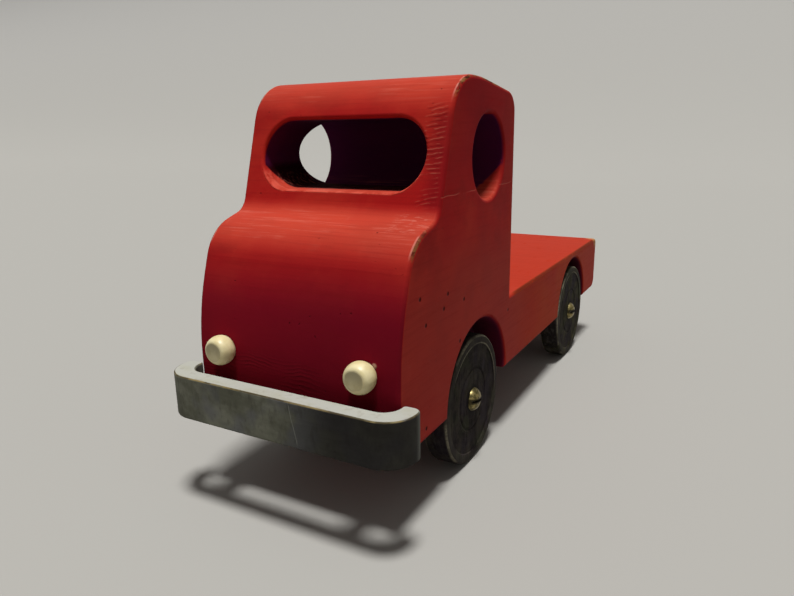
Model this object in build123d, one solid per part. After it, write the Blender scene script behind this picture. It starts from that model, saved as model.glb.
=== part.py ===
from build123d import *
import math
import os

# Painted wooden flatbed truck. Millimetres, +Z up, the truck runs along Y with its bumper towards -Y.
# Shapes are drawn in stations: y = 0 at the cab's front face, z = 0 on the floor, x = 0 on the centre line.
# They are moved at the end, so that the origin is the middle of the truck's footprint.

# --- wooden body ---
body_width = 100.0
body_bottom = 35.0
bed_thickness = 38.0
bed_end = 317.5
cab_depth = 119.0
roof_height = 178.6
roof_fall_angle = 7.5
glue_line_height = 131.5
windscreen_lean = 17.0
bonnet_slope = 17.0
front_lean = 18.0
knee_height = 46.0
knee_round = 115.0
nose_y = 11.7
nose_round = 22.0
valley_y = 33.2
valley_round = 9.0
brow_round = 22.5
crown_y = 76.0
crown_round = 120.0
roof_rear_round = 10.0
tail_top_round = 3.5
tail_bottom_round = 7.0
front_foot_round = 3.0
edge_round = 1.8

# --- windows ---
side_window_diameter = 37.6
side_window_y = 85.8
side_window_z = 144.8
front_window_width = 82.2
front_window_x = -0.5
front_window_height = 29.4
front_window_z = 147.0
window_edge_round = 1.5

# --- wheels and what holds them ---
wheel_radius = 31.5
wheel_thickness = 12.0
wheel_rim_width = 4.6
wheel_rim_rise = 0.6
wheel_edge_round = 1.6
ring_groove_radius = 15.0
ring_groove_depth = 0.4
bore_clearance = 0.08
side_play = 0.2
washer_radius = 8.0
washer_thickness = 1.5
wheel_rim_chamfer = (1.2, 0.1)
disc_edge_slope = 0.5
ring_groove_half_width = 0.9
axles = {
    "front": {"y": 76.0, "pocket_y": 78.4, "pocket_z": 35.3, "pocket_radius": 35.4, "wheel_face": 48.3},
    "rear": {"y": 249.4, "pocket_y": 249.2, "pocket_z": 35.4, "pocket_radius": 33.6, "wheel_face": 49.4},
}
axle_block_width = 30.0
axle_block_height = 20.0
axle_block_chamfer = 3.0

# --- round-head axle screws and countersunk block screws ---
shank_radius = 3.1
screw_head_radius = 5.7
screw_head_height = 3.1
screw_head_shoulder = (0.76, 0.68)
screw_slot_width = 1.4
screw_slot_depth = 1.7
screw_slot_angle = -5.0
screw_length = 38.0
screw_point_length = 9.0
block_screw_radius = 2.0
block_screw_head_radius = 4.0
block_screw_head_height = 2.6
block_screw_length = 32.0
block_screw_point_length = 6.0
block_screw_slot_width = 1.0
block_screw_slot_depth = 1.0
block_screw_spacing_x = 40.0
block_screw_spacing_y = 15.0

# --- bumper, its dowels and the headlights ---
bumper_width = 117.2
bumper_height = 19.2
bumper_bottom = 39.1
bumper_thickness = 8.0
bumper_gap = 7.2
bumper_end_y = 2.2
bumper_outer_corner = 12.8
bumper_inner_corner = 7.2
bumper_tip_outer_round = 3.4
bumper_tip_inner_round = 1.8
bumper_edge_round = 0.8
dowel_radius = 4.75
dowel_spacing = 68.0
dowel_in_bumper = 4.0
dowel_in_body = 12.0
hole_spare = 2.0
headlight_spacing = 69.6
headlight_z = 68.1
headlight_radius = 6.4
headlight_length = 7.3
headlight_centre = 2.9
headlight_flat_round = 2.2
tenon_radius = 3.2
tenon_length = 12.0

half_width = body_width / 2
bed_top = body_bottom + bed_thickness
bumper_front_y = -bumper_gap - bumper_thickness
mid_length = (bumper_front_y + bed_end) / 2
SIDES = {"left": 1, "right": -1}


def tan_deg(angle):
    return math.tan(math.radians(angle))


def body_profile():
    """Side outline of the whole wooden body, as band-sawn, seen from the truck's left."""
    knee_z = body_bottom + knee_height
    nose = (nose_y, knee_z + nose_y / tan_deg(front_lean))
    valley = (valley_y, nose[1] + (valley_y - nose[0]) * tan_deg(bonnet_slope))
    brow = (valley_y + (roof_height - valley[1]) * tan_deg(windscreen_lean), roof_height)
    crown = (crown_y, roof_height)
    rear_roof = (cab_depth, roof_height - (cab_depth - crown_y) * tan_deg(roof_fall_angle))
    corners_and_radii = [
        ((0, body_bottom), front_foot_round),
        ((0, knee_z), knee_round),
        (nose, nose_round),
        (valley, valley_round),
        (brow, brow_round),
        (crown, crown_round),
        (rear_roof, roof_rear_round),
        ((cab_depth, bed_top), 0),
        ((bed_end, bed_top), tail_top_round),
        ((bed_end, body_bottom), tail_bottom_round),
    ]
    outline = Polyline(*[corner for corner, _ in corners_and_radii], close=True)
    face = make_face(Plane.YZ * outline)
    for (y, z), radius in corners_and_radii:
        if radius:
            corner = face.vertices().sort_by_distance((0, y, z))[0]
            face = fillet(corner, radius)
    return face


def wheel_pockets():
    """Blind round-topped pockets, one behind each wheel."""
    pockets = []
    for axle in axles.values():
        floor_x = pocket_floor(axle)
        depth = half_width - floor_x + 1.0
        for side in SIDES.values():
            centre = Pos(side * (floor_x + depth / 2), axle["pocket_y"], axle["pocket_z"])
            pockets.append(centre * Rot(0, 90, 0) * Cylinder(axle["pocket_radius"], depth))
    return pockets


def pocket_floor(axle):
    """How far from the centre line the pocket's floor and the axle block's end stand."""
    return axle["wheel_face"] - wheel_thickness - side_play - washer_thickness


def window_cutters():
    """The cross-bore for the side windows, and the slot that opens it through the windscreen."""
    cross_bore = Pos(0, side_window_y, side_window_z)
    cross_bore *= Rot(0, 90, 0) * Cylinder(side_window_diameter / 2, body_width + 4)
    slot_centre = (front_window_x, 0, front_window_z)
    slot_plane = Plane(origin=slot_centre, x_dir=(1, 0, 0), z_dir=(0, 1, 0))
    slot_face = slot_plane * SlotOverall(front_window_width, front_window_height)
    slot = extrude(slot_face, side_window_y)
    return cross_bore + slot


def peg_holes():
    """Blind holes in the cab front for the headlight tenons and the bumper's dowels."""
    rows = (
        (headlight_spacing, headlight_z, tenon_radius, tenon_length),
        (dowel_spacing, bumper_bottom + bumper_height / 2, dowel_radius, dowel_in_body),
    )
    holes = []
    for spacing, z, radius, depth in rows:
        for side in SIDES.values():
            centre = Pos(side * spacing / 2, (depth + hole_spare) / 2, z)
            holes.append(centre * Rot(90, 0, 0) * Cylinder(radius, depth + hole_spare + 2))
    return holes


def windscreen_edges(body):
    """The rim of the oblong opening in the leaning windscreen."""
    windscreen = body.faces().filter_by(
        lambda f: f.is_planar and f.normal_at().Y < -0.9 and f.center().Z > glue_line_height
    )[0]
    return windscreen.inner_wires()[0].edges()


def painted_body():
    """Both glued blocks in one piece, with pockets, windows and sanded edges."""
    body = extrude(body_profile(), half_width, both=True)
    for pocket in wheel_pockets():
        body -= pocket
    body -= window_cutters()
    body = fillet(windscreen_edges(body), window_edge_round)
    for side in SIDES.values():
        side_face = body.faces().filter_by(Axis.X).sort_by(lambda f: side * f.center().X)[-1]
        body = fillet(side_face.edges(), edge_round)
    for hole in peg_holes():
        body -= hole
    return body


def glued_blocks():
    body = painted_body()
    above = Pos(0, cab_depth / 2, glue_line_height + 50) * Box(2 * body_width, 2 * cab_depth, 100)
    return {"lower_body": body - above, "cab_top": body & above}


def bumper():
    """C-shaped strip whose ends turn back past the cab's sides."""
    outer_half = bumper_width / 2
    inner_half = outer_half - bumper_thickness
    inner_y = -bumper_gap
    corners_and_radii = [
        ((-outer_half, bumper_end_y), bumper_tip_outer_round),
        ((-outer_half, bumper_front_y), bumper_outer_corner),
        ((outer_half, bumper_front_y), bumper_outer_corner),
        ((outer_half, bumper_end_y), bumper_tip_outer_round),
        ((inner_half, bumper_end_y), bumper_tip_inner_round),
        ((inner_half, inner_y), bumper_inner_corner),
        ((-inner_half, inner_y), bumper_inner_corner),
        ((-inner_half, bumper_end_y), bumper_tip_inner_round),
    ]
    face = make_face(Polyline(*[corner for corner, _ in corners_and_radii], close=True))
    for (x, y), radius in corners_and_radii:
        corner = face.vertices().sort_by_distance((x, y, 0))[0]
        face = fillet(corner, radius)
    strip = Pos(0, 0, bumper_bottom) * extrude(face, bumper_height)
    rims = strip.faces().filter_by(Axis.Z).edges()
    strip = fillet(rims, bumper_edge_round)
    for side in SIDES.values():
        socket = Pos(side * dowel_spacing / 2, inner_y, bumper_bottom + bumper_height / 2)
        strip -= socket * Rot(90, 0, 0) * Cylinder(dowel_radius, 2 * dowel_in_bumper)
    return strip


def bumper_dowel(side):
    front = -bumper_gap - dowel_in_bumper
    length = dowel_in_body - front
    place = Pos(side * dowel_spacing / 2, front + length / 2, bumper_bottom + bumper_height / 2)
    return place * Rot(90, 0, 0) * Cylinder(dowel_radius, length)


def headlight(side):
    """Turned peg: a tenon and a ball head with a small flat on its nose."""
    ball_base = math.sqrt(headlight_radius**2 - headlight_centre**2)
    nose_depth = headlight_length - headlight_centre
    nose_radius = math.sqrt(headlight_radius**2 - nose_depth**2)
    half_section = [
        Line((0, -tenon_length), (tenon_radius, -tenon_length)),
        Line((tenon_radius, -tenon_length), (tenon_radius, 0)),
        Line((tenon_radius, 0), (ball_base, 0)),
        ThreePointArc(
            (ball_base, 0),
            (headlight_radius, headlight_centre),
            (nose_radius, headlight_length),
        ),
        Line((nose_radius, headlight_length), (0, headlight_length)),
        Line((0, headlight_length), (0, -tenon_length)),
    ]
    face = make_face(Wire(half_section))
    nose_corner = face.vertices().sort_by_distance((nose_radius, headlight_length, 0))[0]
    peg = revolve(fillet(nose_corner, headlight_flat_round), Axis.Y)
    return Pos(side * headlight_spacing / 2, 0, headlight_z) * Rot(180, 0, 0) * peg


def wheel_profile():
    """Half section of the turned disc: radius along X, outer face at Y = 0, thickness towards -Y."""
    bore = shank_radius + bore_clearance
    disc_radius = wheel_radius - wheel_rim_width
    groove = ring_groove_half_width
    chamfer_width, chamfer_drop = wheel_rim_chamfer
    points = [
        (bore, -wheel_rim_rise),
        (ring_groove_radius - groove, -wheel_rim_rise),
        (ring_groove_radius, -wheel_rim_rise - ring_groove_depth),
        (ring_groove_radius + groove, -wheel_rim_rise),
        (disc_radius - disc_edge_slope, -wheel_rim_rise),
        (disc_radius, -chamfer_drop),
        (disc_radius + chamfer_width, 0),
        (wheel_radius, 0),
        (wheel_radius, -wheel_thickness),
        (bore, -wheel_thickness),
    ]
    face = make_face(Polyline(*points, close=True))
    for corner in ((wheel_radius, 0), (wheel_radius, -wheel_thickness)):
        vertex = face.vertices().sort_by_distance((*corner, 0))[0]
        face = fillet(vertex, wheel_edge_round)
    return face


def on_axle(shape, axle, side, x):
    """Stand a shape revolved about Y on an axle line, its Y axis pointing out of the truck's side."""
    return Pos(side * x, axle["y"], wheel_radius) * Rot(0, 0, -90 * side) * shape


def wheel(axle, side):
    return on_axle(revolve(wheel_profile(), Axis.Y), axle, side, axle["wheel_face"])


def inner_washer(axle, side):
    """Ring that keeps the wheel off its pocket's floor."""
    disc = Cylinder(washer_radius, washer_thickness) - Cylinder(shank_radius, washer_thickness)
    ring = Pos(0, washer_thickness / 2, 0) * Rot(90, 0, 0) * disc
    return on_axle(ring, axle, side, pocket_floor(axle))


def head_seat(axle):
    """Where the screw head's underside stands, just clear of the wheel's sunken disc."""
    return axle["wheel_face"] - wheel_rim_rise + side_play


def axle_screw(axle, side):
    """Slotted round-head wood screw with a plain shank, under its head at Y = 0."""
    across, up = screw_head_shoulder
    shoulder = (screw_head_radius * across, screw_head_height * up)
    half_section = [
        Line((0, screw_head_height), (0, -screw_length)),
        Line((0, -screw_length), (shank_radius, -screw_length + screw_point_length)),
        Line((shank_radius, -screw_length + screw_point_length), (shank_radius, 0)),
        Line((shank_radius, 0), (screw_head_radius, 0)),
        ThreePointArc(
            (screw_head_radius, 0),
            shoulder,
            (0, screw_head_height),
        ),
    ]
    screw = revolve(make_face(Wire(half_section)), Axis.Y)
    slot_top = screw_head_height - screw_slot_depth + 2
    slot = Box(4 * screw_head_radius, 4, screw_slot_width)
    screw -= Pos(0, slot_top, 0) * Rot(0, screw_slot_angle, 0) * slot
    return on_axle(screw, axle, side, head_seat(axle))


def axle_block(axle):
    """Cross batten under the body, drilled from both ends for the axle screws."""
    end_x = pocket_floor(axle)
    block = Box(2 * end_x, axle_block_width, axle_block_height)
    low_edges = block.faces().sort_by(Axis.Z)[0].edges().filter_by(Axis.X)
    block = chamfer(low_edges, axle_block_chamfer)
    block = Pos(0, axle["y"], body_bottom - axle_block_height / 2) * block
    for side in SIDES.values():
        block -= axle_screw(axle, side)
    return block - block_screws(axle)


def block_screws(axle):
    """Two countersunk screws up through the batten into the body, staggered past the axle line."""
    head_z = body_bottom - axle_block_height
    half_section = Polyline(
        (0, 0),
        (block_screw_head_radius, 0),
        (block_screw_radius, block_screw_head_height),
        (block_screw_radius, block_screw_length - block_screw_point_length),
        (0, block_screw_length),
        close=True,
    )
    screw = revolve(make_face(Plane.XZ * half_section), Axis.Z)
    slot = Box(4 * block_screw_head_radius, block_screw_slot_width, 2 * block_screw_slot_depth)
    screw -= slot
    places = []
    for side in SIDES.values():
        x = side * block_screw_spacing_x / 2
        y = axle["y"] - side * block_screw_spacing_y / 2
        places.append(Pos(x, y, head_z) * screw)
    return places


def build_parts():
    parts = glued_blocks()
    parts["bumper"] = bumper()
    for name, side in SIDES.items():
        parts[f"bumper_dowel_{name}"] = bumper_dowel(side)
        parts[f"headlight_{name}"] = headlight(side)
    fixing_screws = []
    for end, axle in axles.items():
        parts[f"axle_block_{end}"] = axle_block(axle)
        for screw in block_screws(axle):
            parts["lower_body"] -= screw
            fixing_screws.append(screw)
        for name, side in SIDES.items():
            parts[f"wheel_{end}_{name}"] = wheel(axle, side)
            parts[f"axle_screw_{end}_{name}"] = axle_screw(axle, side)
            parts[f"inner_washer_{end}_{name}"] = inner_washer(axle, side)
    parts["axle_block_screws"] = Compound(fixing_screws)
    return parts


os.makedirs("parts", exist_ok=True)
for node, shape in build_parts().items():
    export_step(Pos(0, -mid_length, 0) * shape, f"parts/{node}.step")
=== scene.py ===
import math
from types import SimpleNamespace

import bpy
from mathutils import Matrix, Vector

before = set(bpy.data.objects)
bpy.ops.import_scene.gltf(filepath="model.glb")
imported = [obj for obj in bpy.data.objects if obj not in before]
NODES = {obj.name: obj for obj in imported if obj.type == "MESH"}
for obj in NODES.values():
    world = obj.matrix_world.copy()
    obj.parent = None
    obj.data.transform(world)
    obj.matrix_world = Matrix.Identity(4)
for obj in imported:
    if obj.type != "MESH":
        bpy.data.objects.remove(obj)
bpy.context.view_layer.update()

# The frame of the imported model, in metres: +Z up, the bumper towards -Y, +X the truck's left.
# Finishes work in millimetres of the same frame, from object coordinates, so they turn with the wheels.
# CAB_FRONT is where the cab's front face stands; places along the truck are measured back from it.
MM = 0.001

CAB_FRONT = -151.15
BED_END = 317.5
BED_TOP_Z = 73.0
BODY_SIDE_X = 50.0
WHEEL_CENTRE_Z = 31.5
GLUE_LINE_Z = 131.5
HEADLIGHT_X = 34.8
HEADLIGHT_Z = 68.1
AXLE_Y = {"front": CAB_FRONT + 76.0, "rear": CAB_FRONT + 249.4}

# The windscreen leans back from the valley where it meets the bonnet.
VALLEY_BACK = 33.2
VALLEY_Z = 123.6
WINDSCREEN_SLOPE = math.tan(math.radians(17.0))

# Each wheel pocket's centre, y and z, and its radius.
POCKETS = ((CAB_FRONT + 78.4, 35.3, 35.4), (CAB_FRONT + 249.2, 35.4, 33.6))


# --- camera -------------------------------------------------------------------------------------

CAMERA_PLACE = Vector((156.755, CAB_FRONT - 190.695, 157.172)) * MM
CAMERA_AZIMUTH = math.radians(29.344)
CAMERA_ELEVATION = math.radians(14.700)
CAMERA_ROLL = math.radians(-0.918)
CAMERA_FOCAL_PIXELS = 642.102
IMAGE_WIDTH = 794
SENSOR_WIDTH = 36.0


def make_camera():
    data = bpy.data.cameras.new("camera")
    data.sensor_width = SENSOR_WIDTH
    data.lens = CAMERA_FOCAL_PIXELS / IMAGE_WIDTH * SENSOR_WIDTH
    data.clip_start = 0.01
    data.clip_end = 20
    camera = bpy.data.objects.new("camera", data)
    bpy.context.scene.collection.objects.link(camera)
    back = Vector((
        math.sin(CAMERA_AZIMUTH) * math.cos(CAMERA_ELEVATION),
        -math.cos(CAMERA_AZIMUTH) * math.cos(CAMERA_ELEVATION),
        math.sin(CAMERA_ELEVATION),
    ))
    right = Vector((math.cos(CAMERA_AZIMUTH), math.sin(CAMERA_AZIMUTH), 0))
    up = back.cross(right)
    rolled_right = math.cos(CAMERA_ROLL) * right + math.sin(CAMERA_ROLL) * up
    rolled_up = back.cross(rolled_right)
    turn = Matrix((rolled_right, rolled_up, back)).transposed()
    camera.matrix_world = Matrix.Translation(CAMERA_PLACE) @ turn.to_4x4()
    bpy.context.scene.camera = camera


# --- a small kit for building finishes ----------------------------------------------------------

class Finish:
    """A Principled material whose node graph is written as short expressions, in millimetres."""

    def __init__(self, name, roughness=0.5, metallic=0.0, specular=0.5):
        self.material = bpy.data.materials.new(name)
        self.material.use_nodes = True
        self.tree = self.material.node_tree
        self.shader = self.tree.nodes["Principled BSDF"]
        self.shader.inputs["Roughness"].default_value = roughness
        self.shader.inputs["Metallic"].default_value = metallic
        self.shader.inputs["Specular IOR Level"].default_value = specular
        coords = self.tree.nodes.new("ShaderNodeTexCoord")
        self.place = self.vector("SCALE", coords.outputs["Object"], scale=1 / MM)
        self.normal = coords.outputs["Normal"]
        self.x, self.y, self.z = self.parts(self.place)
        self.nx, self.ny, self.nz = self.parts(self.normal)
        self.colour = None
        self.height = None

    def feed(self, socket, value):
        if isinstance(value, bpy.types.NodeSocket):
            self.tree.links.new(value, socket)
        elif socket.type == "RGBA" and len(value) == 3:
            socket.default_value = (*value, 1)
        else:
            socket.default_value = value

    def parts(self, vector):
        node = self.tree.nodes.new("ShaderNodeSeparateXYZ")
        self.feed(node.inputs[0], vector)
        return node.outputs[:3]

    def vector(self, operation, a, b=None, scale=None):
        node = self.tree.nodes.new("ShaderNodeVectorMath")
        node.operation = operation
        self.feed(node.inputs[0], a)
        if b is not None:
            self.feed(node.inputs[1], b)
        if scale is not None:
            node.inputs["Scale"].default_value = scale
        return node.outputs["Value"] if operation in ("LENGTH", "DISTANCE") else node.outputs[0]

    def do(self, operation, *values):
        node = self.tree.nodes.new("ShaderNodeMath")
        node.operation = operation
        for socket, value in zip(node.inputs, values):
            self.feed(socket, value)
        return node.outputs[0]

    def add(self, *values):
        total = values[0]
        for value in values[1:]:
            total = self.do("ADD", total, value)
        return total

    def times(self, *values):
        total = values[0]
        for value in values[1:]:
            total = self.do("MULTIPLY", total, value)
        return total

    def any_of(self, *masks):
        total = masks[0]
        for mask in masks[1:]:
            total = self.do("MAXIMUM", total, mask)
        return total

    def away(self, value):
        return self.do("SUBTRACT", 1.0, value)

    def size(self, value):
        return self.do("ABSOLUTE", value)

    def step(self, value, start, end):
        """0 at start and 1 at end, smooth between, whichever of the two is larger."""
        node = self.tree.nodes.new("ShaderNodeMapRange")
        node.interpolation_type = "SMOOTHSTEP"
        self.feed(node.inputs["Value"], value)
        node.inputs["From Min"].default_value = min(start, end)
        node.inputs["From Max"].default_value = max(start, end)
        node.inputs["To Min"].default_value = 0.0 if start < end else 1.0
        node.inputs["To Max"].default_value = 1.0 if start < end else 0.0
        return node.outputs[0]

    def band(self, value, start, end, soft):
        return self.times(self.step(value, start - soft, start), self.step(value, end + soft, end))

    def noise(self, size, detail=2.0, stretch=(1, 1, 1), shift=0.0, rough=0.5):
        """Noise whose features are about size millimetres, drawn out along an axis by stretch."""
        spread = tuple(1 / (size * s) for s in stretch)
        place = self.vector("MULTIPLY", self.place, spread)
        place = self.vector("ADD", place, (shift, shift * 0.7, -shift))
        node = self.tree.nodes.new("ShaderNodeTexNoise")
        node.inputs["Scale"].default_value = 1.0
        node.inputs["Detail"].default_value = detail
        node.inputs["Roughness"].default_value = rough
        self.feed(node.inputs["Vector"], place)
        return node.outputs["Fac"]

    def mix(self, amount, a, b):
        node = self.tree.nodes.new("ShaderNodeMix")
        node.data_type = "RGBA"
        self.feed(node.inputs[0], amount)
        self.feed(node.inputs[6], a)
        self.feed(node.inputs[7], b)
        return node.outputs[2]

    def blend(self, amount, a, b):
        node = self.tree.nodes.new("ShaderNodeMix")
        self.feed(node.inputs[0], amount)
        self.feed(node.inputs[2], a)
        self.feed(node.inputs[3], b)
        return node.outputs[0]

    def coat(self, amount, colour):
        """Lay a colour over what is there."""
        self.colour = self.mix(amount, self.colour, colour)

    def relief(self, millimetres, amount):
        """Raise the surface by so many millimetres where amount is 1."""
        rise = self.times(amount, millimetres)
        self.height = rise if self.height is None else self.add(self.height, rise)

    def near(self, point, radius):
        """1 at a point, falling to 0 at the radius."""
        return self.step(self.vector("DISTANCE", self.place, point), radius, radius * 0.4)

    def from_axle(self, y, z):
        """Distance from a line that crosses the truck."""
        return self.vector("DISTANCE", self.vector("MULTIPLY", self.place, (0, 1, 1)), (0, y, z))

    def done(self, roughness=None):
        self.feed(self.shader.inputs["Base Color"], self.colour)
        if roughness is not None:
            self.feed(self.shader.inputs["Roughness"], roughness)
        if self.height is not None:
            bump = self.tree.nodes.new("ShaderNodeBump")
            bump.inputs["Strength"].default_value = 1.0
            bump.inputs["Distance"].default_value = MM
            self.feed(bump.inputs["Height"], self.height)
            self.tree.links.new(bump.outputs["Normal"], self.shader.inputs["Normal"])
        return self.material


# --- floor and light ----------------------------------------------------------------------------

# Metres: half the floor sheet's length, which is also its height behind the truck, and its bend's radius.
FLOOR_HALF = 3.0
FLOOR_BEND = 1.4
FLOOR_BEND_STEPS = 24

# The floor and the sky light the truck as mid greys do, and are seen and mirrored as pale ones.
# The seen floor also glows a little more the higher it rises, up to a height in millimetres.
FLOOR_CASTS = (0.18, 0.176, 0.168)
FLOOR_SEEN = (0.450, 0.438, 0.405)
FLOOR_GLOW_COLOUR = (1, 0.985, 0.96, 1)
FLOOR_GLOW = 0.20
FLOOR_GLOW_TOP = 1200.0
SKY_CASTS = (0.18, 0.177, 0.173, 1)
SKY_SEEN = (0.495, 0.478, 0.445, 1)

LAMP_ENERGY = 3.0
LAMP_ANGLE = 0.20
LAMP_FROM = Vector((0.10, -0.10, 1.0))


def seen_rays(tree):
    """1 for rays that show or mirror a surface, 0 for rays that gather its light."""
    path = tree.nodes.new("ShaderNodeLightPath")
    seen = path.outputs["Is Camera Ray"]
    for other in ("Is Glossy Ray", "Is Transmission Ray"):
        either = tree.nodes.new("ShaderNodeMath")
        either.operation = "MAXIMUM"
        tree.links.new(seen, either.inputs[0])
        tree.links.new(path.outputs[other], either.inputs[1])
        seen = either.outputs[0]
    return seen


def floor_finish():
    f = Finish("floor", roughness=0.8, specular=0.2)
    seen = seen_rays(f.tree)
    f.shader.inputs["Emission Color"].default_value = FLOOR_GLOW_COLOUR
    glow = f.times(seen, f.step(f.z, 0.0, FLOOR_GLOW_TOP), FLOOR_GLOW)
    f.feed(f.shader.inputs["Emission Strength"], glow)
    f.colour = f.mix(seen, FLOOR_CASTS, FLOOR_SEEN)
    return f.done()


def make_floor():
    """A pale sheet that turns up softly behind the truck."""
    bend_start = FLOOR_HALF - FLOOR_BEND
    profile = [(-FLOOR_HALF, 0.0), (bend_start, 0.0)]
    for i in range(1, FLOOR_BEND_STEPS + 1):
        turn = math.pi / 2 * i / FLOOR_BEND_STEPS
        profile.append((bend_start + FLOOR_BEND * math.sin(turn), FLOOR_BEND - FLOOR_BEND * math.cos(turn)))
    profile.append((FLOOR_HALF, FLOOR_HALF))
    verts = [(x, y, z) for y, z in profile for x in (-2 * FLOOR_HALF, 2 * FLOOR_HALF)]
    faces = [(2 * i, 2 * i + 1, 2 * i + 3, 2 * i + 2) for i in range(len(profile) - 1)]
    mesh = bpy.data.meshes.new("floor")
    mesh.from_pydata(verts, [], faces)
    mesh.polygons.foreach_set("use_smooth", [True] * len(faces))
    mesh.materials.append(floor_finish())
    floor = bpy.data.objects.new("floor", mesh)
    bpy.context.scene.collection.objects.link(floor)


def make_light():
    """A soft lamp high over the truck's nose, and a weak even sky."""
    data = bpy.data.lights.new("overhead", "SUN")
    data.angle = LAMP_ANGLE
    data.energy = LAMP_ENERGY
    lamp = bpy.data.objects.new("overhead", data)
    bpy.context.scene.collection.objects.link(lamp)
    lamp.rotation_mode = "QUATERNION"
    lamp.rotation_quaternion = LAMP_FROM.to_track_quat("Z", "Y")
    world = bpy.data.worlds.new("studio")
    bpy.context.scene.world = world
    world.use_nodes = True
    tree = world.node_tree
    sky = tree.nodes["Background"]
    sky.inputs["Color"].default_value = SKY_CASTS
    seen_sky = tree.nodes.new("ShaderNodeBackground")
    seen_sky.inputs["Color"].default_value = SKY_SEEN
    choose = tree.nodes.new("ShaderNodeMixShader")
    tree.links.new(seen_rays(tree), choose.inputs[0])
    tree.links.new(sky.outputs[0], choose.inputs[1])
    tree.links.new(seen_sky.outputs[0], choose.inputs[2])
    tree.links.new(choose.outputs[0], tree.nodes["World Output"].inputs["Surface"])


# --- red paint on the body ----------------------------------------------------------------------

RED = (0.47, 0.015, 0.015)
RED_LIGHT = (0.53, 0.030, 0.020)
RED_DARK = (0.20, 0.008, 0.010)
RED_PALE = (0.62, 0.16, 0.105)
RED_BLUSH = (0.30, 0.010, 0.015)
RED_SMOKY = (0.26, 0.012, 0.012)
RED_TOP_SHEEN = (0.60, 0.080, 0.042)
RED_HIGH_SIDE = (0.30, 0.008, 0.013)
RED_LOW_SIDE = (0.40, 0.052, 0.034)
RED_BED = (0.46, 0.026, 0.006)
RED_BED_SIDE = (0.50, 0.052, 0.008)
RED_LOW_FRONT_SHADE = (0.215, 0.006, 0.018)
RED_NEAR_FRONT_SHADE = (0.13, 0.004, 0.015)
RED_PILLAR_SHADE = (0.20, 0.008, 0.014)
RIPPLE = (0.080, 0.004, 0.008)
SILL_HIGHLIGHT = (0.80, 0.13, 0.085)
CREAM_DRIP = (0.60, 0.40, 0.27)
PIT = (0.045, 0.003, 0.003)
BED_EDGE = (0.27, 0.035, 0.008)
HANDLED = (0.085, 0.013, 0.008)
OCHRE = (0.54, 0.27, 0.10)
EDGE_HIGHLIGHT = (0.84, 0.42, 0.33)
TOE_ORANGE = (0.58, 0.090, 0.030)
STREAK = (0.74, 0.20, 0.145)
GLINT = (0.80, 0.32, 0.24)
GRIME = (0.030, 0.010, 0.011)
POCKET_SHADE = (0.038, 0.009, 0.038)
BORE_SHADE = (0.056, 0.006, 0.047)
SLOT_FLOOR_SHADE = (0.007, 0.001, 0.003)
BARE_WOOD = (0.30, 0.165, 0.055)
OLD_WOOD = (0.055, 0.024, 0.013)

# Dents on both sides and on the front: x, distance behind the cab's front, z.
DENT_RADIUS = 1.25
DENTS = (
    (50, 38.1, 86.2), (50, 116.2, 66.1), (50, 21.7, 83.5), (50, 21.7, 40.1), (50, 16.8, 95.1),
    (50, 41.9, 91.6), (50, 58.6, 85.5), (50, 54.7, 67.5),
    (-50, 92.3, 96.0), (-50, 28.6, 70.2), (-50, 190.6, 55.0), (32.3, 7.0, 111.4), (-12.0, 5.4, 104.0),
)

# How far in from the side windows and from the windscreen light reaches a wall that faces up; beyond it the
# bores get painted shade.
LIT_FROM_SIDE = 15.7
LIT_FROM_SCREEN = 15.5
LIT_FROM_SCREEN_MOST = 8.0


def red_places(f):
    """The masks and slow noise that several layers of the red paint share."""
    m = SimpleNamespace()
    m.back = f.add(f.y, -CAB_FRONT)
    screen_foot = VALLEY_Z * WINDSCREEN_SLOPE - VALLEY_BACK
    m.behind_screen = f.add(m.back, f.times(f.z, -WINDSCREEN_SLOPE), screen_foot)
    m.side = f.step(f.size(f.nx), 0.93, 0.99)
    m.front = f.times(f.step(f.ny, -0.15, -0.5), f.step(m.back, 58, 50))
    m.mottle = f.noise(30, 4, shift=1, rough=0.6)
    m.blush = f.noise(55, 2, shift=71)
    return m


def red_tints(f, m):
    """Slow mottling, and the tint of each face: painted sheen on the tops, painted shade low on the front
    and on the near pillar, the sides darker high up and browner low down, the bed more orange.
    """
    f.colour = f.mix(f.step(m.mottle, 0.36, 0.70), RED, RED_LIGHT)
    f.coat(f.times(f.step(m.blush, 0.50, 0.66), 0.50), RED_BLUSH)
    smoky = f.step(f.noise(26, 5, stretch=(1.6, 1, 1), shift=133, rough=0.62), 0.50, 0.66)
    f.coat(f.times(smoky, 0.40), RED_SMOKY)
    f.coat(f.times(m.side, f.step(f.z, 120, 165), 0.45), RED_HIGH_SIDE)
    # painted sheen: faces that look up are made paler, as the overhead lamp would light them
    f.coat(f.times(f.step(f.nz, 0.25, 0.95), 0.62), RED_TOP_SHEEN)
    f.coat(f.times(f.step(m.back, 100, 150), 0.80), RED_BED)
    bed_side = f.times(f.size(f.nx), f.step(m.back, 105, 180), f.step(m.back, 330, 215))
    f.coat(f.times(bed_side, f.step(m.blush, 0.30, 0.62), 0.75), RED_BED_SIDE)
    low_side = f.times(m.side, f.step(f.z, 125, 85), f.step(m.back, 165, 115))
    f.coat(f.times(low_side, 0.60), RED_LOW_SIDE)
    # painted shade: the front darkens below the bonnet, and more towards the near corner
    low = f.times(m.front, f.step(f.z, 115, 85))
    f.coat(f.times(low, 0.85), RED_LOW_FRONT_SHADE)
    f.coat(f.times(low, f.step(f.x, -35, 25), 0.40), RED_NEAR_FRONT_SHADE)
    # painted shade on the near pillar beside the windscreen
    pillar = f.times(m.front, f.step(f.x, 39, 47), f.band(f.z, 130, 160, 8))
    f.coat(f.times(pillar, 0.50), RED_PILLAR_SHADE)


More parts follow.
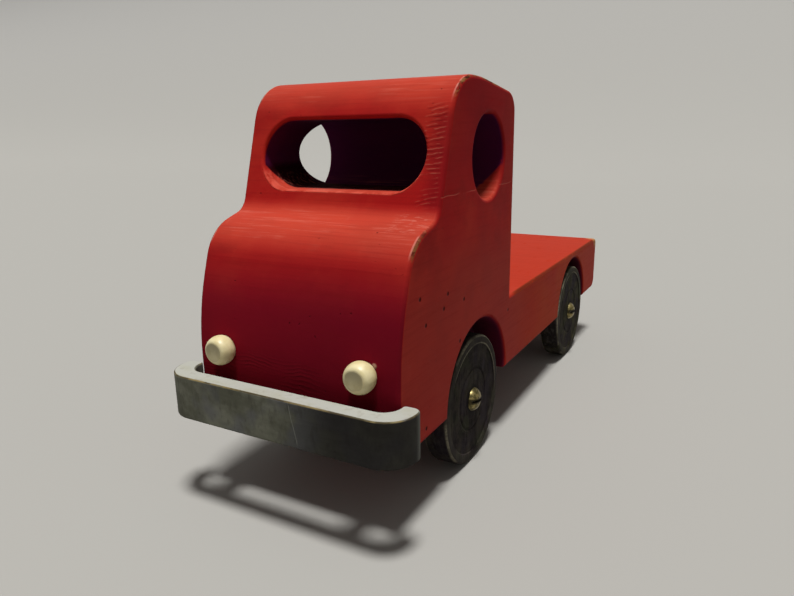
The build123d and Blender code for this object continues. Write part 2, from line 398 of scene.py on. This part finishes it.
def red_grain(f, m):
    """Faint fibres along the grain, and the paint's own unevenness."""
    across = f.noise(1.3, 3, stretch=(30, 1, 1), shift=3, rough=0.6)
    along = f.noise(1.2, 3, stretch=(1, 24, 1), shift=9, rough=0.6)
    m.fibres = f.blend(m.side, across, along)
    f.coat(f.times(f.step(m.fibres, 0.46, 0.76), 0.20), RED_DARK)
    f.relief(0.030, m.fibres)
    f.relief(0.20, f.noise(24, 2, shift=14))
    f.relief(0.014, f.noise(1.1, 2, shift=77))


def red_ripples(f, m):
    """Raised grain that ripples through the paint low on the front."""
    warp = f.noise(17, 2, shift=5)
    rings = f.do("SINE", f.add(f.times(f.z, 3.9), f.times(warp, 30.0), f.times(f.x, 0.10)))
    faded = f.step(f.noise(11, 2, stretch=(2.4, 1, 1), shift=81), 0.40, 0.62)
    place = f.times(m.front, f.band(f.z, 58, 65, 5), f.step(f.x, 20, 4), faded)
    f.relief(0.015, f.times(rings, place))
    f.coat(f.times(f.step(rings, 0.40, 0.98), place, 0.66), RIPPLE)


def red_rasp_marks(f, m):
    """Rasp chatter between the windscreen opening and the near edge."""
    climb = f.add(f.z, f.times(f.x, -0.17), f.times(f.noise(8, 2, shift=31), 2.2))
    teeth = f.do("SINE", f.times(climb, 3.3))
    ragged = f.noise(1.5, 2, stretch=(3.5, 1, 1), shift=44, rough=0.6)
    patch = f.times(m.front, f.band(f.z, 131, 164, 5), f.band(f.x, 40.0, 46.8, 2.2))
    patch = f.times(patch, f.step(ragged, 0.38, 0.58), f.step(f.noise(11, 1, shift=46), 0.26, 0.50))
    f.relief(0.026, f.times(teeth, patch))
    # painted shade in the troughs of the chatter and a painted highlight on its crests
    f.coat(f.times(f.step(teeth, -0.40, -0.95), patch, 0.66), RED_DARK)
    f.coat(f.times(f.step(teeth, 0.50, 0.98), patch, 0.46), RED_PALE)


def red_sill(f, m):
    """The lower lip of the windscreen opening is uneven, and is given a painted highlight where it would
    catch the light.
    """
    lip = f.times(f.band(m.behind_screen, -0.3, 4.0, 1.5), f.band(f.z, 129.5, 142, 3))
    lip = f.times(lip, f.step(f.nz, 0.42, 0.60))
    uneven = f.noise(4.5, 3, shift=63, rough=0.6)
    f.relief(0.60, f.times(lip, uneven))
    # painted highlight on the uneven lip
    f.coat(f.times(lip, f.step(uneven, 0.40, 0.60), 0.55), SILL_HIGHLIGHT)


def red_glue_line(f):
    """A broken line where the two blocks meet."""
    wander = f.add(f.z, f.times(f.noise(7, 2, shift=8), 1.6), -0.8)
    seam = f.band(wander, GLUE_LINE_Z - 0.04, GLUE_LINE_Z + 0.04, 0.26)
    seam = f.times(seam, f.step(f.size(f.x), BODY_SIDE_X - 0.8, BODY_SIDE_X - 0.1))
    seam = f.times(seam, f.step(f.noise(12, 1, shift=2), 0.34, 0.52))
    f.relief(-0.10, seam)
    f.coat(f.times(seam, 0.50), RED_PALE)


def red_spots(f, m):
    """A drip of the near headlight's cream beside it, dents, and pits where the filler fell out."""
    drip = f.near((HEADLIGHT_X + 4.3, CAB_FRONT, HEADLIGHT_Z + 4.2), 1.5)
    f.coat(f.times(drip, 0.70), CREAM_DRIP)
    f.relief(0.25, drip)
    dents = f.any_of(*(f.near((x, CAB_FRONT + y, z), DENT_RADIUS) for x, y, z in DENTS))
    specks = f.times(f.step(f.noise(1.6, 0, shift=60), 0.815, 0.87), f.step(m.mottle, 0.40, 0.55))
    f.relief(-0.18, f.any_of(dents, specks))
    f.coat(f.any_of(f.times(dents, 0.94), f.times(specks, 0.55)), PIT)


def red_edges(f, m):
    """The sanded long edges: rubbed dark where hands reach, and worn to wood at the worst places."""
    outer = f.step(f.size(f.x), 47.0, 48.0)
    edge = f.times(f.band(f.size(f.nx), 0.42, 0.86, 0.12), outer)
    core = f.times(f.band(f.size(f.nx), 0.36, 0.86, 0.10), outer)
    roof = f.times(f.step(f.z, 165, 173), f.step(m.back, 46, 54), f.step(m.back, 112, 98))
    bonnet = f.times(f.band(m.back, 13, 27, 3), f.band(f.z, 111, 118, 4))
    bed = f.times(f.step(m.back, 122, 134), f.step(f.z, 68, 71))
    tail = f.times(f.step(m.back, 309, 315), f.step(f.z, 66, 71))
    foot = f.times(f.step(f.z, 42, 38), f.step(m.back, 14, 4))
    fine = f.noise(2.0, 4, stretch=(1, 2, 2), shift=17, rough=0.7)
    slow = f.noise(9, 2, shift=27)
    rub = f.add(f.times(fine, 0.6), f.times(slow, 0.4))
    lined = f.any_of(roof, bonnet, f.times(bed, 0.75), f.times(tail, 0.9), f.times(foot, 0.6), 0.12)
    smear = f.times(edge, lined, f.step(rub, 0.36, 0.50))
    m.bare = f.times(core, f.any_of(roof, f.times(tail, 0.9), f.times(bonnet, 0.5)))
    m.bare = f.times(m.bare, f.step(rub, 0.42, 0.52))
    wood = f.mix(f.step(f.noise(1.8, 3, stretch=(1, 3, 1), shift=23), 0.44, 0.58), OLD_WOOD, BARE_WOOD)
    bed_edge = f.times(f.step(f.z, BED_TOP_Z - 2.1, BED_TOP_Z - 1.4), f.step(f.size(f.x), 48.1, 48.7))
    bed_edge = f.times(bed_edge, f.step(m.back, 122, 130))
    f.coat(f.times(bed_edge, f.step(rub, 0.30, 0.46), 0.70), BED_EDGE)
    f.coat(f.times(smear, 0.80), HANDLED)
    f.coat(f.times(m.bare, 0.85), wood)
    f.relief(-0.06, m.bare)
    f.relief(0.05, f.times(edge, f.noise(3.5, 2, shift=88)))

    # the bed's near rear corner, knocked back to pale wood
    corner = (BODY_SIDE_X - 1.2, CAB_FRONT + BED_END - 3.0, BED_TOP_Z - 0.8)
    knocked = f.times(f.near(corner, 8.0), f.step(fine, 0.36, 0.52))
    f.coat(f.times(knocked, 0.85), OCHRE)

    # just inside the rubbed line, a painted highlight on the upper side of the rounded edge
    pale = f.times(f.band(f.size(f.nx), 0.10, 0.34, 0.08), outer, f.step(f.nz, 0.2, 0.5))
    pale = f.times(pale, f.any_of(roof, f.times(bonnet, 0.55)), f.step(slow, 0.40, 0.58))
    f.coat(f.times(pale, 0.60), EDGE_HIGHLIGHT)

    # a rubbed orange patch at the foot of the near front corner
    toe = f.times(f.step(f.x, 44, 48), f.band(m.back, 5, 15, 5), f.band(f.z, 34, 42, 5))
    toe = f.times(toe, f.step(f.noise(5, 3, shift=66), 0.40, 0.60))
    f.coat(f.times(toe, 0.60), TOE_ORANGE)


def red_hollows(f, m):
    """Painted shade in the wheel pockets and the window bores, and grime on the underside."""
    pockets = []
    for y, z, radius in POCKETS:
        inward = f.step(f.from_axle(y, z), radius + 1.2, radius - 0.3)
        pockets.append(f.times(inward, f.step(f.z, 34.0, 35.6)))
    inside = f.any_of(*pockets)
    # painted shade inside the wheel pockets
    f.coat(f.times(inside, 0.86), POCKET_SHADE)
    below = f.step(f.nz, -0.5, -0.9)
    f.coat(f.times(below, f.step(m.mottle, 0.35, 0.6), 0.45), GRIME)

    # painted shade in the bores, which starts further in from a bore's mouth the more its wall faces up, as
    # the lamp reaches there
    upward = f.any_of(f.nz, 0.0)
    mouth = f.add(f.size(f.x), f.times(upward, f.step(f.x, -5, 5), LIT_FROM_SIDE))
    deep = f.times(f.step(mouth, 52.8, 51.2), f.step(f.size(f.x), BODY_SIDE_X - 0.1, BODY_SIDE_X - 1.5))
    lit = f.times(f.any_of(f.add(f.nz, -0.3), 0.0), LIT_FROM_SCREEN)
    lit = f.times(f.do("MINIMUM", lit, LIT_FROM_SCREEN_MOST), -1.0)
    sunk = f.step(f.add(m.behind_screen, lit), 1.0, 2.4)
    bore = f.times(deep, sunk, f.step(m.back, 109, 106), f.band(f.z, 125, 163, 0.5))
    slot_floor = f.times(f.step(f.nz, 0.15, 0.45), f.step(m.back, 72, 64))
    shade = f.mix(slot_floor, BORE_SHADE, SLOT_FLOOR_SHADE)
    f.coat(f.times(bore, f.blend(slot_floor, 0.92, 0.97)), shade)
    m.hollow = f.any_of(inside, bore)


def red_scuffs(f, m):
    """Pale streaks across the bonnet and brow, scratches with a painted sheen; painted glints by the near
    pillar; dusty flat tops.
    """
    # pale streaks along the tops: scratches, with a painted sheen over them
    streaks = f.step(f.noise(1.6, 4, stretch=(22, 1, 1), shift=57, rough=0.65), 0.48, 0.72)
    sheen_and_wear_top = f.times(f.step(f.nz, 0.45, 0.85), f.step(m.back, 112, 100), f.step(m.mottle, 0.36, 0.58))
    f.coat(f.times(streaks, sheen_and_wear_top, 0.42), STREAK)
    # painted glints at the foot of the near pillar
    glints = f.step(f.noise(1.0, 3, stretch=(4.0, 1, 1), shift=35, rough=0.65), 0.48, 0.70)
    glints = f.times(glints, f.band(f.x, 36, 45, 6), f.band(m.back, 23, 31, 5), f.step(f.nz, 0.5, 0.8))
    f.coat(f.times(glints, 0.30), GLINT)
    m.scuffs = f.step(f.noise(4.5, 4, stretch=(1, 3.0, 1), shift=51, rough=0.7), 0.54, 0.76)
    f.coat(f.times(m.scuffs, f.step(f.nz, 0.80, 0.97), f.step(m.back, 130, 110), 0.24), RED_PALE)


def red_paint():
    """Brushed red enamel on sawn softwood, rubbed through at the edges."""
    f = Finish("red_paint", specular=0.01)
    m = red_places(f)
    red_tints(f, m)
    red_grain(f, m)
    red_ripples(f, m)
    red_rasp_marks(f, m)
    red_sill(f, m)
    red_glue_line(f)
    red_spots(f, m)
    red_edges(f, m)
    red_hollows(f, m)
    red_scuffs(f, m)
    gloss = f.add(0.33, f.times(m.fibres, 0.12), f.times(m.scuffs, 0.12), f.times(m.bare, 0.35))
    return f.done(f.add(gloss, f.times(m.hollow, 0.4)))


# --- other finishes -----------------------------------------------------------------------------

BATTEN_WOOD = (0.16, 0.075, 0.035)


def batten_paint():
    """Thin red on a rough batten, with the wood grinning through."""
    f = Finish("batten_paint")
    grain = f.noise(1.1, 3, stretch=(26, 1, 1), shift=4)
    thin = f.step(f.noise(9, 4, stretch=(3, 1, 1), shift=12, rough=0.7), 0.46, 0.62)
    f.colour = f.mix(f.step(grain, 0.38, 0.66), RED, RED_DARK)
    f.coat(f.times(thin, 0.55), BATTEN_WOOD)
    f.relief(0.16, grain)
    return f.done(0.62)


GREY_DARK = (0.150, 0.150, 0.108)
GREY_LIGHT = (0.270, 0.270, 0.205)
GREY_VIOLET = (0.150, 0.150, 0.172)
GREY_BRUSHED = (0.095, 0.090, 0.072)
GREY_TOP_LIT = (0.530, 0.530, 0.470)
GREY_STAIN = (0.40, 0.385, 0.26)
GREY_SCRATCH = (0.36, 0.365, 0.31)
NEAR_END_SHADE = (0.022, 0.019, 0.018)
RIM_BROWN = (0.075, 0.052, 0.020)
RIM_BRIGHT = (0.30, 0.22, 0.085)
CORNER_WOOD = (0.20, 0.14, 0.075)


def grey_paint():
    """Grey enamel on the sawn bumper, browned where its front rim is rubbed bare, with painted light on the
    top and painted shade towards the near end.
    """
    f = Finish("grey_paint", specular=0.04)
    up = f.step(f.nz, 0.90, 0.99)
    front = f.step(f.ny, -0.6, -0.9)
    mottle = f.noise(14, 4, shift=2, rough=0.62)
    fine = f.noise(2.2, 3, stretch=(1, 1, 2.0), shift=7)
    f.colour = f.mix(f.step(mottle, 0.34, 0.66), GREY_DARK, GREY_LIGHT)
    f.coat(f.times(f.step(f.noise(19, 2, shift=40), 0.46, 0.60), 0.55), GREY_VIOLET)
    f.coat(f.times(f.step(fine, 0.50, 0.70), 0.40), GREY_BRUSHED)
    # painted light: the top is made much paler, as lit from overhead
    f.coat(f.times(up, 0.85), GREY_TOP_LIT)
    # painted shade on all but the top, growing towards the near end
    near_end_shade = f.times(f.step(f.nz, 0.7, 0.3), f.step(f.add(f.x, f.times(mottle, 16.0)), 6, 40))
    f.coat(f.times(near_end_shade, 0.90), NEAR_END_SHADE)
    stain = f.times(up, f.step(f.noise(5, 3, stretch=(2, 1, 1), shift=15), 0.48, 0.66))
    f.coat(f.times(stain, 0.30), GREY_STAIN)

    # the top front rim: a thin brown line of bare wood that comes and goes
    rim = f.times(f.band(f.nz, 0.42, 0.86, 0.14), f.step(f.ny, 0.30, -0.05))
    rub = f.step(f.noise(5, 4, stretch=(2.2, 1, 1), shift=19, rough=0.65), 0.30, 0.46)
    line = f.times(rim, f.add(0.20, f.times(rub, 0.70)))
    bright = f.step(f.noise(6, 3, stretch=(2.5, 1, 1), shift=91, rough=0.6), 0.46, 0.62)
    f.coat(f.times(line, 0.92), f.mix(bright, RIM_BROWN, RIM_BRIGHT))
    other = f.times(f.band(f.size(f.nz), 0.30, 0.92, 0.12), f.away(rim))
    worn = f.times(other, f.step(f.noise(4, 3, shift=28), 0.58, 0.70))
    f.coat(f.times(worn, 0.7), CORNER_WOOD)

    # one long scratch down the middle of the front, and a pale rub by the near end
    bend = f.add(f.x, f.times(f.z, 0.22), f.times(f.noise(8, 1, shift=3), 1.2), -23.0)
    scratch = f.times(f.band(bend, -0.10, 0.10, 0.22), front, f.band(f.z, 43, 56, 3))
    pale = f.times(f.step(f.nx, 0.80, 0.95), f.step(f.y, CAB_FRONT - 3.5, CAB_FRONT - 0.5))
    f.coat(f.any_of(f.times(scratch, 0.5), f.times(pale, 0.30)), GREY_SCRATCH)
    f.relief(-0.06, scratch)
    f.relief(0.05, f.noise(1.4, 3, stretch=(9, 1, 1), shift=33))
    f.relief(0.12, mottle)
    return f.done(f.add(0.42, f.times(fine, 0.22), f.times(line, 0.2)))


SLATE_DARK = (0.018, 0.013, 0.014)
SLATE_LIGHT = {"front": (0.052, 0.043, 0.033), "rear": (0.060, 0.054, 0.028)}
SLATE_VIOLET = (0.034, 0.026, 0.034)
SLATE_OLIVE = (0.037, 0.040, 0.022)
SLATE_GRAIN = (0.085, 0.076, 0.064)
SLATE_BLOT = (0.010, 0.007, 0.009)
SLATE_TURNED = (0.115, 0.112, 0.098)
SLATE_RIM = (0.130, 0.118, 0.092)
SLATE_WORN = (0.300, 0.270, 0.190)
SLATE_DIRT_AND_SHADOW = (0.016, 0.014, 0.013)
TREAD_DUST_AND_SHADE = {"front": (0.070, 0.060, 0.066), "rear": (0.170, 0.158, 0.136)}


def slate_paint(end):
    """Dark paint on a turned disc, rubbed pale along the rim by use."""
    f = Finish("slate_paint", specular=0.01)
    axle_y = AXLE_Y[end]
    radius = f.from_axle(axle_y, WHEEL_CENTRE_Z)
    face = f.step(f.size(f.nx), 0.80, 0.95)
    mottle = f.noise(7, 4, shift=axle_y, rough=0.65)
    tint = f.noise(12, 3, shift=axle_y + 30)
    grain = f.noise(1.4, 3, stretch=(1, 1, 9), shift=26, rough=0.6)
    fine = f.noise(1.3, 3, shift=6)
    f.colour = f.mix(f.step(mottle, 0.36, 0.66), SLATE_DARK, SLATE_LIGHT[end])
    f.coat(f.times(f.step(tint, 0.50, 0.62), 0.60), SLATE_VIOLET)
    f.coat(f.times(f.step(tint, 0.48, 0.36), 0.60), SLATE_OLIVE)
    f.coat(f.times(f.step(grain, 0.46, 0.68), 0.34), SLATE_GRAIN)
    blots = f.step(f.noise(5, 4, stretch=(1, 1, 1.8), shift=axle_y + 61, rough=0.7), 0.52, 0.62)
    f.coat(f.times(blots, f.blend(face, 0.12, 0.60)), SLATE_BLOT)

    # turning marks
    turning = f.do("SINE", f.add(f.times(radius, 5.2), f.times(f.noise(20, 2, shift=2), 5.0)))
    second = f.do("SINE", f.add(f.times(radius, 1.9), f.times(mottle, 4.0)))
    marks = f.times(f.add(turning, second), face)
    f.relief(0.006, marks)
    f.coat(f.times(f.step(marks, 0.2, 1.6), 0.06), SLATE_TURNED)

    # the raised rim and its corners are rubbed, in patches, to a pale brown grey
    patchy = f.step(f.noise(17, 2, shift=axle_y + 7), 0.40, 0.58)
    rim = f.times(f.step(radius, 26.8, 27.4), face)
    f.coat(f.times(rim, f.add(0.05, f.times(fine, 0.25))), SLATE_RIM)
    wobble = f.add(radius, f.times(f.noise(9, 2, shift=axle_y + 3), 0.6), -0.30)
    corner = f.band(wobble, 30.6, 31.1, 0.4)
    lip = f.times(f.band(wobble, 27.2, 27.5, 0.35), face, f.step(f.z, 24, 42), 0.8)
    chips = f.step(f.add(f.times(mottle, 0.6), f.times(fine, 0.5)), 0.46, 0.62)
    used = f.any_of(patchy, f.step(f.add(f.y, -axle_y, f.times(f.z, 0.2)), 8, 22))
    worn = f.times(f.any_of(corner, lip), f.add(0.03, f.times(used, 0.50), f.times(used, chips, 0.50)))
    f.coat(worn, SLATE_WORN)

    # the tread is scuffed, with dust pressed in; on the front wheels it is darker, as painted shade from
    # the wheel pockets
    tread = f.times(f.away(f.step(f.size(f.nx), 0.2, 0.6)), f.step(radius, 29, 31))
    scuff = f.step(f.noise(3.5, 4, stretch=(0.5, 1, 1), shift=12, rough=0.7), 0.48, 0.68)
    f.coat(f.times(tread, scuff, 0.50), TREAD_DUST_AND_SHADE[end])

    # the turned ring holds dirt; round the screw the ground holds dirt and a painted shadow of the screw
    # head
    ring = f.times(f.band(radius, 14.9, 15.1, 0.45), f.times(patchy, 0.22))
    groove = f.any_of(ring, f.step(radius, 8.4, 6.2))
    f.coat(f.times(groove, face, 0.75), SLATE_DIRT_AND_SHADOW)
    f.relief(0.10, mottle)
    f.relief(0.05, grain)
    return f.done(f.add(0.46, f.times(fine, 0.2), f.times(worn, -0.06)))


CREAM = (0.90, 0.79, 0.46)
CREAM_DEEP = (0.80, 0.68, 0.35)
CREAM_GRIME_AND_SHADE = (0.34, 0.285, 0.155)
CREAM_DIRT = (0.23, 0.18, 0.09)


def cream_paint():
    """Cream gloss on a turned ball whose nose flat is chipped, grubby, and darkened with painted shade."""
    f = Finish("cream_paint", specular=0.5)
    f.shader.inputs["Coat Weight"].default_value = 0.2
    f.shader.inputs["Coat Roughness"].default_value = 0.3
    mottle = f.noise(4, 3, shift=4)
    f.colour = f.mix(f.step(mottle, 0.36, 0.66), CREAM, CREAM_DEEP)
    folded = f.vector("ABSOLUTE", f.place)
    off_axis = f.vector("DISTANCE", f.vector("MULTIPLY", folded, (1, 0, 1)), (HEADLIGHT_X, 0, HEADLIGHT_Z))
    off_axis = f.add(off_axis, f.times(f.noise(3, 2, shift=5), 1.0), -0.5)
    ahead = f.step(f.y, CAB_FRONT - 5.5, CAB_FRONT - 6.6)
    nose = f.times(ahead, f.step(off_axis, 4.1, 3.7))
    upper = f.step(f.add(f.z, f.times(mottle, 3.0)), HEADLIGHT_Z - 1, HEADLIGHT_Z + 4)
    # the nose flat is grubby, most on its upper part, and also darker as painted shade, facing away from
    # the overhead lamp
    f.coat(f.times(nose, f.add(0.40, f.times(upper, 0.40))), CREAM_GRIME_AND_SHADE)
    brim = f.times(ahead, f.band(off_axis, 3.9, 4.2, 0.4), f.step(f.z, HEADLIGHT_Z, HEADLIGHT_Z + 3))
    root = f.step(f.y, CAB_FRONT - 1.6, CAB_FRONT - 0.2)
    root = f.times(root, f.step(f.noise(3, 3, shift=17), 0.35, 0.6))
    f.coat(f.any_of(f.times(root, 0.6), f.times(brim, 0.35)), CREAM_DIRT)
    f.relief(0.08, f.noise(3.0, 2, shift=29))
    return f.done(f.add(0.36, f.times(mottle, 0.15)))


DOWEL_LIGHT = (0.42, 0.27, 0.13)
DOWEL_DARK = (0.27, 0.155, 0.07)
DOWEL_SMEAR = (0.15, 0.15, 0.14)


def dowel_wood():
    """Bare hardwood dowel, smeared with the bumper's grey."""
    f = Finish("dowel_wood")
    grain = f.noise(0.8, 3, stretch=(1, 14, 1), shift=3)
    f.colour = f.mix(f.step(grain, 0.36, 0.66), DOWEL_LIGHT, DOWEL_DARK)
    smear = f.step(f.noise(5, 3, shift=9), 0.44, 0.60)
    f.coat(f.times(smear, 0.75), DOWEL_SMEAR)
    f.relief(0.10, grain)
    return f.done(0.7)


# Each metal's clean colour, tarnished colour and roughness.
METALS = {
    "steel_screw": ((0.42, 0.41, 0.39), (0.16, 0.15, 0.14), 0.42),
    "washer_brass": ((0.50, 0.41, 0.22), (0.24, 0.19, 0.11), 0.45),
    "brass": ((0.31, 0.25, 0.105), (0.105, 0.088, 0.038), 0.28),
}

# The axle screws' slots are tilted. Grime lies thick near a slot's middle and is gone a little further out.
SLOT_SLOPE = math.tan(math.radians(5.0))
SLOT_GRIMY_TO = 0.9
SLOT_CLEAN_FROM = 1.7
SLOT_GRIME = (0.020, 0.016, 0.010)


def metal(name, axle_y=None):
    """Old metal: tarnished in patches, with fine scratches, and grime in an axle screw's slot."""
    bright, dull, roughness = METALS[name]
    f = Finish(name, metallic=1.0)
    tarnish = f.step(f.noise(2.2, 4, shift=7, rough=0.65), 0.40, 0.60)
    scratch = f.noise(0.30, 2, stretch=(1, 7, 1), shift=2)
    f.colour = f.mix(tarnish, bright, dull)
    f.relief(0.012, scratch)
    f.relief(0.04, f.noise(1.6, 2, shift=11))
    if axle_y is not None:
        slant = f.times(f.do("SIGN", f.x), SLOT_SLOPE, f.add(f.y, -axle_y))
        across = f.size(f.add(f.z, -WHEEL_CENTRE_Z, slant))
        f.coat(f.times(f.step(across, SLOT_CLEAN_FROM, SLOT_GRIMY_TO), 0.85), SLOT_GRIME)
    return f.done(f.add(roughness, f.times(tarnish, 0.22), f.times(scratch, 0.10)))


def dress(material, *names):
    for name in names:
        slots = NODES[name].data.materials
        slots.clear()
        slots.append(material)


def dress_all():
    dress(red_paint(), "lower_body", "cab_top")
    dress(batten_paint(), "axle_block_front", "axle_block_rear")
    dress(grey_paint(), "bumper")
    dress(cream_paint(), "headlight_left", "headlight_right")
    dress(dowel_wood(), "bumper_dowel_left", "bumper_dowel_right")
    dress(metal("steel_screw"), "axle_block_screws")
    washer = metal("washer_brass")
    for end, axle_y in AXLE_Y.items():
        slate = slate_paint(end)
        brass = metal("brass", axle_y)
        for side in ("left", "right"):
            dress(slate, f"wheel_{end}_{side}")
            dress(brass, f"axle_screw_{end}_{side}")
            dress(washer, f"inner_washer_{end}_{side}")


make_camera()
make_floor()
make_light()
dress_all()
bpy.context.scene.view_settings.view_transform = "Standard"
